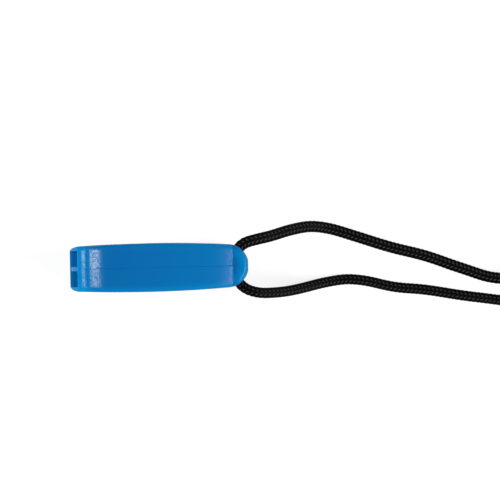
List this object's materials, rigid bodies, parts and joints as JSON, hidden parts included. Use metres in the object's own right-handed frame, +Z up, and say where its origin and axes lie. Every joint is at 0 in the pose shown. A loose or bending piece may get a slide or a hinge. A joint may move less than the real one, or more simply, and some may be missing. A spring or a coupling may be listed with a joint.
{
  "type": "sports whistle with neck cord",
  "caption": "Flat plastic sports whistle without a pea, lying on its narrow side, with a braided neck cord through its lug that is knotted into a loop and folded into a tied hank.",
  "frame": {"origin": "on the supporting surface, under the middle of the whistle's body", "axes": "+X from the mouth to the lug, +Y along the thickness towards the upper shell, +Z up, across the whistle's width as it lies on its narrow side"},
  "size_m": [0.2317, 0.0282, 0.024],
  "materials": {
    "shell_plastic": "moulded ABS with a soft gloss",
    "core_plastic": "moulded ABS with a soft gloss",
    "braided_cord": "round braid of black polyester yarn",
    "elastic": "matt"
  },
  "bodies": {
    "root": {"upper_shell": "shell_plastic", "lower_shell": "shell_plastic", "centre_core": "core_plastic", "upper_strand": "braided_cord", "lower_strand": "braided_cord", "return_strand": "braided_cord", "cord_hank": "braided_cord", "hank_tie": "elastic", "cord_knot": "braided_cord"}
  },
  "joints": []
}
